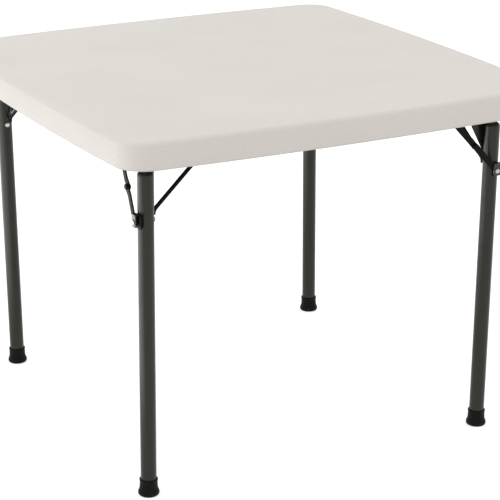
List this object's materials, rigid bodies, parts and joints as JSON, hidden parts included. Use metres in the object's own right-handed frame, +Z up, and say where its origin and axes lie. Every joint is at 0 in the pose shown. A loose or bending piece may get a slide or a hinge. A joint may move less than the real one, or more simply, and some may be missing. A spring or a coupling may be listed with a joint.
{
  "type": "folding card table",
  "caption": "Square plastic-topped folding card table: a rounded top on upright round steel legs that fold round the same way into the recess below.",
  "frame": {"origin": "on the floor under the middle of the top", "axes": "+Z up; the front side faces -Y, and +X is to the right of it"},
  "size_m": [0.94, 0.94, 0.73],
  "materials": {
    "moulded_plastic": "fine moulded grain",
    "moulded_plastic_under": "fine moulded grain",
    "cradle_plastic": "satin",
    "foot_cap_rubber": "matt",
    "zinc": "bright zinc plate",
    "black_steel": "black satin paint",
    "leg_coat": "bronze-grey powder coat"
  },
  "bodies": {
    "root": {"tabletop_upper_skin": "moulded_plastic", "tabletop_under_skin": "moulded_plastic_under", "rail_screws": "zinc", "bracket_screws": "zinc", "hinge_rods": "zinc", "brace_pins": "zinc", "leg_cradles": "cradle_plastic", "frame_rail_left": "leg_coat", "frame_rail_front": "leg_coat", "frame_rail_right": "leg_coat", "frame_rail_rear": "leg_coat", "hinge_bracket_front_left": "leg_coat", "hinge_bracket_front_right": "leg_coat", "hinge_bracket_rear_right": "leg_coat", "hinge_bracket_rear_left": "leg_coat", "brace_bracket_front_left": "leg_coat", "brace_bracket_front_right": "leg_coat", "brace_bracket_rear_right": "leg_coat", "brace_bracket_rear_left": "leg_coat"},
    "leg_front_left": {"leg_tube_front_left": "leg_coat", "hinge_plate_front_left": "leg_coat", "pivot_tube_front_left": "leg_coat", "strut_front_left": "black_steel", "foot_cap_front_left": "foot_cap_rubber", "brace_lug_front_left": "black_steel", "leg_rivet_front_left": "zinc"},
    "upper_brace_front_left": {"upper_link_front_left": "black_steel"},
    "lower_brace_front_left": {"lower_link_front_left": "black_steel", "knee_rivet_front_left": "black_steel"},
    "leg_front_right": {"leg_tube_front_right": "leg_coat", "hinge_plate_front_right": "leg_coat", "pivot_tube_front_right": "leg_coat", "strut_front_right": "black_steel", "foot_cap_front_right": "foot_cap_rubber", "brace_lug_front_right": "black_steel", "leg_rivet_front_right": "zinc"},
    "upper_brace_front_right": {"upper_link_front_right": "black_steel"},
    "lower_brace_front_right": {"lower_link_front_right": "black_steel", "knee_rivet_front_right": "black_steel"},
    "leg_rear_right": {"leg_tube_rear_right": "leg_coat", "hinge_plate_rear_right": "leg_coat", "pivot_tube_rear_right": "leg_coat", "strut_rear_right": "black_steel", "foot_cap_rear_right": "foot_cap_rubber", "brace_lug_rear_right": "black_steel", "leg_rivet_rear_right": "zinc"},
    "upper_brace_rear_right": {"upper_link_rear_right": "black_steel"},
    "lower_brace_rear_right": {"lower_link_rear_right": "black_steel", "knee_rivet_rear_right": "black_steel"},
    "leg_rear_left": {"leg_tube_rear_left": "leg_coat", "hinge_plate_rear_left": "leg_coat", "pivot_tube_rear_left": "leg_coat", "strut_rear_left": "black_steel", "foot_cap_rear_left": "foot_cap_rubber", "brace_lug_rear_left": "black_steel", "leg_rivet_rear_left": "zinc"},
    "upper_brace_rear_left": {"upper_link_rear_left": "black_steel"},
    "lower_brace_rear_left": {"lower_link_rear_left": "black_steel", "knee_rivet_rear_left": "black_steel"}
  },
  "joints": [
    {"name": "fold_front_left", "type": "hinge", "parent": "root", "child": "leg_front_left", "pos_m": [-0.383, -0.342, 0.691], "axis": [1, 0, 0], "range_deg": [0, 89.25]},
    {"name": "upper_brace_turn_front_left", "type": "hinge", "parent": "root", "child": "upper_brace_front_left", "pos_m": [-0.383, -0.25, 0.691], "axis": [1, 0, 0], "range_deg": [0, 131.36]},
    {"name": "lower_brace_turn_front_left", "type": "hinge", "parent": "leg_front_left", "child": "lower_brace_front_left", "pos_m": [-0.383, -0.36824, 0.55664], "axis": [1, 0, 0], "range_deg": [-114.8, 0]},
    {"name": "fold_front_right", "type": "hinge", "parent": "root", "child": "leg_front_right", "pos_m": [0.342, -0.383, 0.691], "axis": [0, 1, 0], "range_deg": [0, 89.25]},
    {"name": "upper_brace_turn_front_right", "type": "hinge", "parent": "root", "child": "upper_brace_front_right", "pos_m": [0.25, -0.383, 0.691], "axis": [0, 1, 0], "range_deg": [0, 131.36]},
    {"name": "lower_brace_turn_front_right", "type": "hinge", "parent": "leg_front_right", "child": "lower_brace_front_right", "pos_m": [0.36824, -0.383, 0.55664], "axis": [0, 1, 0], "range_deg": [-114.8, 0]},
    {"name": "fold_rear_right", "type": "hinge", "parent": "root", "child": "leg_rear_right", "pos_m": [0.383, 0.342, 0.691], "axis": [-1, 0, 0], "range_deg": [0, 89.25]},
    {"name": "upper_brace_turn_rear_right", "type": "hinge", "parent": "root", "child": "upper_brace_rear_right", "pos_m": [0.383, 0.25, 0.691], "axis": [-1, 0, 0], "range_deg": [0, 131.36]},
    {"name": "lower_brace_turn_rear_right", "type": "hinge", "parent": "leg_rear_right", "child": "lower_brace_rear_right", "pos_m": [0.383, 0.36824, 0.55664], "axis": [-1, 0, 0], "range_deg": [-114.8, 0]},
    {"name": "fold_rear_left", "type": "hinge", "parent": "root", "child": "leg_rear_left", "pos_m": [-0.342, 0.383, 0.691], "axis": [0, -1, 0], "range_deg": [0, 89.25]},
    {"name": "upper_brace_turn_rear_left", "type": "hinge", "parent": "root", "child": "upper_brace_rear_left", "pos_m": [-0.25, 0.383, 0.691], "axis": [0, -1, 0], "range_deg": [0, 131.36]},
    {"name": "lower_brace_turn_rear_left", "type": "hinge", "parent": "leg_rear_left", "child": "lower_brace_rear_left", "pos_m": [-0.36824, 0.383, 0.55664], "axis": [0, -1, 0], "range_deg": [-114.8, 0]}
  ],
  "couplings": [
    {"joint": "upper_brace_turn_front_left", "follows": "fold_front_left", "ratio": 1.4717},
    {"joint": "lower_brace_turn_front_left", "follows": "fold_front_left", "ratio": -1.2862},
    {"joint": "upper_brace_turn_front_right", "follows": "fold_front_right", "ratio": 1.4717},
    {"joint": "lower_brace_turn_front_right", "follows": "fold_front_right", "ratio": -1.2862},
    {"joint": "upper_brace_turn_rear_right", "follows": "fold_rear_right", "ratio": 1.4717},
    {"joint": "lower_brace_turn_rear_right", "follows": "fold_rear_right", "ratio": -1.2862},
    {"joint": "upper_brace_turn_rear_left", "follows": "fold_rear_left", "ratio": 1.4717},
    {"joint": "lower_brace_turn_rear_left", "follows": "fold_rear_left", "ratio": -1.2862}
  ]
}
